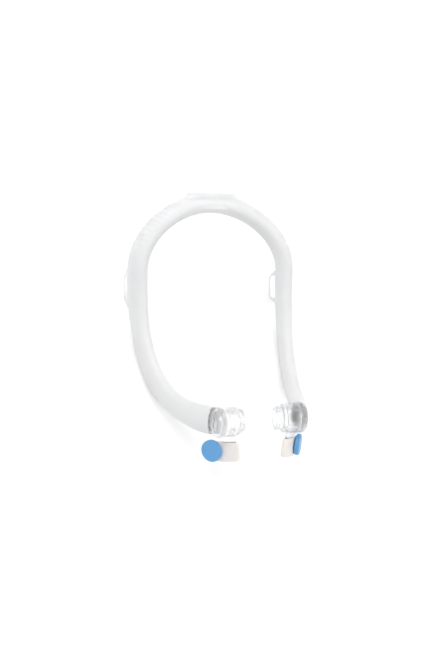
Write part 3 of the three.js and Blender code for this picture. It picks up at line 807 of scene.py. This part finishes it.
class Paint:
    """A material with its Principled shader; node() adds any node and returns its output."""

    def __init__(self, name):
        self.material = bpy.data.materials.new(name)
        self.material.use_nodes = True
        self.tree = self.material.node_tree
        self.shader = self.tree.nodes["Principled BSDF"]

    def node(self, kind, settings, links, output=0):
        """Sets a new node's settings first, then gives its sockets values or links."""
        node = self.tree.nodes.new(kind)
        for key, setting in settings.items():
            setattr(node, key, setting)
        for key, value in links.items():
            self.feed(node.inputs[key], value)
        return Value(self, node.outputs[output])

    def feed(self, socket, value):
        """Links a socket to a wrapped value, or sets it to a number or a colour."""
        if isinstance(value, Value):
            self.tree.links.new(value.socket, socket)
        else:
            socket.default_value = value

    def set(self, **values):
        """Gives the shader's sockets constants or links, by name with _ for a blank."""
        for name, value in values.items():
            self.feed(self.shader.inputs[name.replace("_", " ")], value)
        return self

    def place(self):
        """Object coordinates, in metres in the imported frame."""
        return self.node("ShaderNodeTexCoord", {}, {}, "Object")

    def noise(self, scale, detail=3.0, roughness=0.5):
        """Smooth random value from 0 to 1 with features about 1/scale metres wide."""
        links = {"Vector": self.place(), "Scale": scale, "Detail": detail, "Roughness": roughness}
        return self.node("ShaderNodeTexNoise", {}, links, "Fac")

    def mix(self, share, first, second):
        """Colour that goes from first to second as share goes from 0 to 1."""
        return self.node("ShaderNodeMix", {"data_type": "RGBA"}, {0: share, 6: first, 7: second}, 2)

    def bump(self, height, distance):
        """Surface direction tilted by a height field, in metres."""
        return self.node("ShaderNodeBump", {}, {"Height": height, "Distance": distance, "Strength": 1.0})


print("a paint is a material that grows nodes from expressions")

# %% [markdown]
# ## Finishes
#
# The silicone is milky: light goes in, scatters and comes out softened, and the skin itself is
# satin. The connectors are clear and polished, and part of the light goes straight through them,
# as it does through a thin wall. The clips are fine satin plastic.


# %% Silicone, clear plastic and moulded plastic
def silicone_finish():
    """Cloudy base colour, light that scatters inside, and a fine satin grain."""
    paint = Paint("milky_silicone")
    clouds = paint.noise(60.0)
    grain = paint.noise(900.0, 2.0)
    colour = paint.mix(clouds, (0.89, 0.893, 0.90, 1), (0.94, 0.943, 0.95, 1))
    paint.set(Base_Color=colour, Roughness=0.36 + clouds * 0.14, IOR=1.41, Transmission_Weight=0.30)
    paint.set(Subsurface_Weight=0.5, Subsurface_Radius=(0.003, 0.003, 0.003), Subsurface_Scale=1.0)
    return paint.set(Normal=paint.bump(grain, 0.00003)).material


def clear_finish(name, tint, roughness):
    """Polished clear plastic with faint flow marks."""
    paint = Paint(name)
    flow = paint.noise(160.0)
    paint.set(Base_Color=paint.mix(flow, tint, (0.985, 0.99, 1.0, 1)), Roughness=roughness + flow * 0.04)
    paint.set(IOR=1.45, Transmission_Weight=1.0, Alpha=0.6)
    return paint.set(Normal=paint.bump(flow, 0.00004)).material


def moulded_finish(name, dark, light, rough_low, rough_span):
    """Solid plastic mottled between two colours, with a fine grain."""
    paint = Paint(name)
    mottle = paint.noise(220.0)
    grain = paint.noise(2500.0, 2.0)
    paint.set(Base_Color=paint.mix(mottle, dark, light), Roughness=rough_low + grain * rough_span, IOR=1.46)
    paint.set(Subsurface_Weight=0.08, Subsurface_Radius=(0.002, 0.002, 0.002), Subsurface_Scale=1.0)
    return paint.set(Normal=paint.bump(grain, 0.00002)).material


CLEAR_TINT = (0.90, 0.905, 0.91, 1)
DARK_GREY, MID_GREY = (0.22, 0.23, 0.24, 1), (0.30, 0.31, 0.32, 1)
WARM_SHADE, WARM_WHITE = (0.76, 0.72, 0.69, 1), (0.82, 0.785, 0.76, 1)
DEEP_BLUE, LIGHT_BLUE = (0.10, 0.32, 0.625, 1), (0.125, 0.36, 0.665, 1)
finishes = {
    "tube": silicone_finish(),
    "clear": clear_finish("clear_polycarbonate", CLEAR_TINT, 0.03),
    "button": clear_finish("clear_button", CLEAR_TINT, 0.06),
    "grip": moulded_finish("grey_grip_line", DARK_GREY, MID_GREY, 0.4, 0.1),
    "band": moulded_finish("warm_white_plastic", WARM_SHADE, WARM_WHITE, 0.38, 0.14),
    "disc": moulded_finish("light_blue_plastic", DEEP_BLUE, LIGHT_BLUE, 0.3, 0.14),
}
for group, members in pieces.items():
    for piece in members:
        if group == "button":
            piece.data.materials[0], piece.data.materials[1] = finishes["button"], finishes["grip"]
        else:
            piece.data.materials.clear()
            piece.data.materials.append(finishes[group])
print("finishes:", [material.name for material in finishes.values()])

# %% [markdown]
# ## Floor
#
# The photograph is high-key: a near-white table and background and very soft light from above,
# with only a faint shadow. The floor is wide and white, and its edge lies beyond every view.

# %% Floor
FLOOR_HALF = 40.0
floor_corners = np.array([(-1, -1, 0), (1, -1, 0), (1, 1, 0), (-1, 1, 0)]) * FLOOR_HALF
floor_mesh = bpy.data.meshes.new("table_top")
floor_mesh.from_pydata(floor_corners, [], [(0, 1, 2, 3)])
floor = bpy.data.objects.new("table_top", floor_mesh)
bpy.context.scene.collection.objects.link(floor)
floor_paint = Paint("pale_table")
floor_paint.set(Base_Color=(0.975, 0.975, 0.975, 1), Roughness=0.7)
floor_mesh.materials.append(floor_paint.material)
print("floor:", 2 * FLOOR_HALF, "m wide")

# %% [markdown]
# ## Light
#
# The sky gives most of the light and grows paler upwards, so the sides of the tube are a little
# darker than its top. Two large soft lights add the faint shadow.

# %% Light
HORIZON, ZENITH, ZENITH_AT, SKY_STRENGTH = (0.45, 0.455, 0.46, 1), (1.0, 1.0, 1.0, 1), 0.75, 1.0
world = bpy.data.worlds.new("pale_room")
bpy.context.scene.world = world
world.use_nodes = True
sky = world.node_tree.nodes["Background"]
sky_place = world.node_tree.nodes.new("ShaderNodeTexCoord")
sky_split = world.node_tree.nodes.new("ShaderNodeSeparateXYZ")
sky_ramp = world.node_tree.nodes.new("ShaderNodeValToRGB")
low, high = sky_ramp.color_ramp.elements
low.color, high.color, high.position = HORIZON, ZENITH, ZENITH_AT
world.node_tree.links.new(sky_place.outputs["Generated"], sky_split.inputs[0])
world.node_tree.links.new(sky_split.outputs["Z"], sky_ramp.inputs[0])
world.node_tree.links.new(sky_ramp.outputs["Color"], sky.inputs["Color"])
sky.inputs["Strength"].default_value = SKY_STRENGTH
bpy.context.scene.view_settings.view_transform = "Standard"


def soft_light(name, place, aim, size, power):
    """Square area light at a place, its face turned towards the aim point."""
    data = bpy.data.lights.new(name, "AREA")
    data.size, data.energy = size, power
    lamp = bpy.data.objects.new(name, data)
    bpy.context.scene.collection.objects.link(lamp)
    lamp.location = place
    direction = np.array(aim, dtype=float) - np.array(place, dtype=float)
    lamp.rotation_euler = Vector(direction).to_track_quat("-Z", "Y").to_euler()
    return lamp


soft_light("window_light", (-0.5, 0.5, 1.4), (0, 0, 0), 1.2, 10.0)
soft_light("fill_light", (0.9, -0.4, 1.0), (0, 0, 0), 1.0, 3.4)

# %% [markdown]
# ## Camera
#
# The camera stands level with the ears in the worn frame. Its place, its tilt and its lens are
# the ones that make both sides of the loop fall where the photograph has them.

# %% Camera
CAMERA_AROUND, CAMERA_HEIGHT, CAMERA_DISTANCE = math.radians(24.08), 154.8, 900.0
CAMERA_PITCH, CAMERA_YAW = math.radians(3.39), math.radians(-0.43)
FOCAL_PIXELS, LONG_SIDE, SENSOR = 1018.5, 672, 36.0
AIM_FORWARD = 45.0
camera_data = bpy.data.cameras.new("view_of_the_photo")
camera_data.sensor_width = SENSOR
camera_data.lens = SENSOR * FOCAL_PIXELS / LONG_SIDE
camera_data.clip_start, camera_data.clip_end = 0.01, 20.0
camera = bpy.data.objects.new("view_of_the_photo", camera_data)
bpy.context.scene.collection.objects.link(camera)


def row_direction(across, up, forward):
    """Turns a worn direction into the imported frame."""
    return across * LEFT + up * UP + forward * FORWARD


stand = np.array((-math.sin(CAMERA_AROUND), 0, math.cos(CAMERA_AROUND))) * CAMERA_DISTANCE
place = to_row(stand + (0, CAMERA_HEIGHT, AIM_FORWARD))
heading = CAMERA_AROUND + CAMERA_YAW
level = np.array((math.sin(heading), 0, -math.cos(heading)))
look_worn = level * math.cos(CAMERA_PITCH) - np.array((0, math.sin(CAMERA_PITCH), 0))
top_worn = level * math.sin(CAMERA_PITCH) + np.array((0, math.cos(CAMERA_PITCH), 0))
look, top = row_direction(*look_worn), row_direction(*top_worn)
right = np.cross(look, top)
matrix = np.eye(4)
matrix[:3, 0], matrix[:3, 1], matrix[:3, 2], matrix[:3, 3] = right, top, -look, place
camera.matrix_world = Matrix(matrix.tolist())
bpy.context.scene.camera = camera
print("camera at", place.round(3), "lens", round(camera_data.lens, 1))
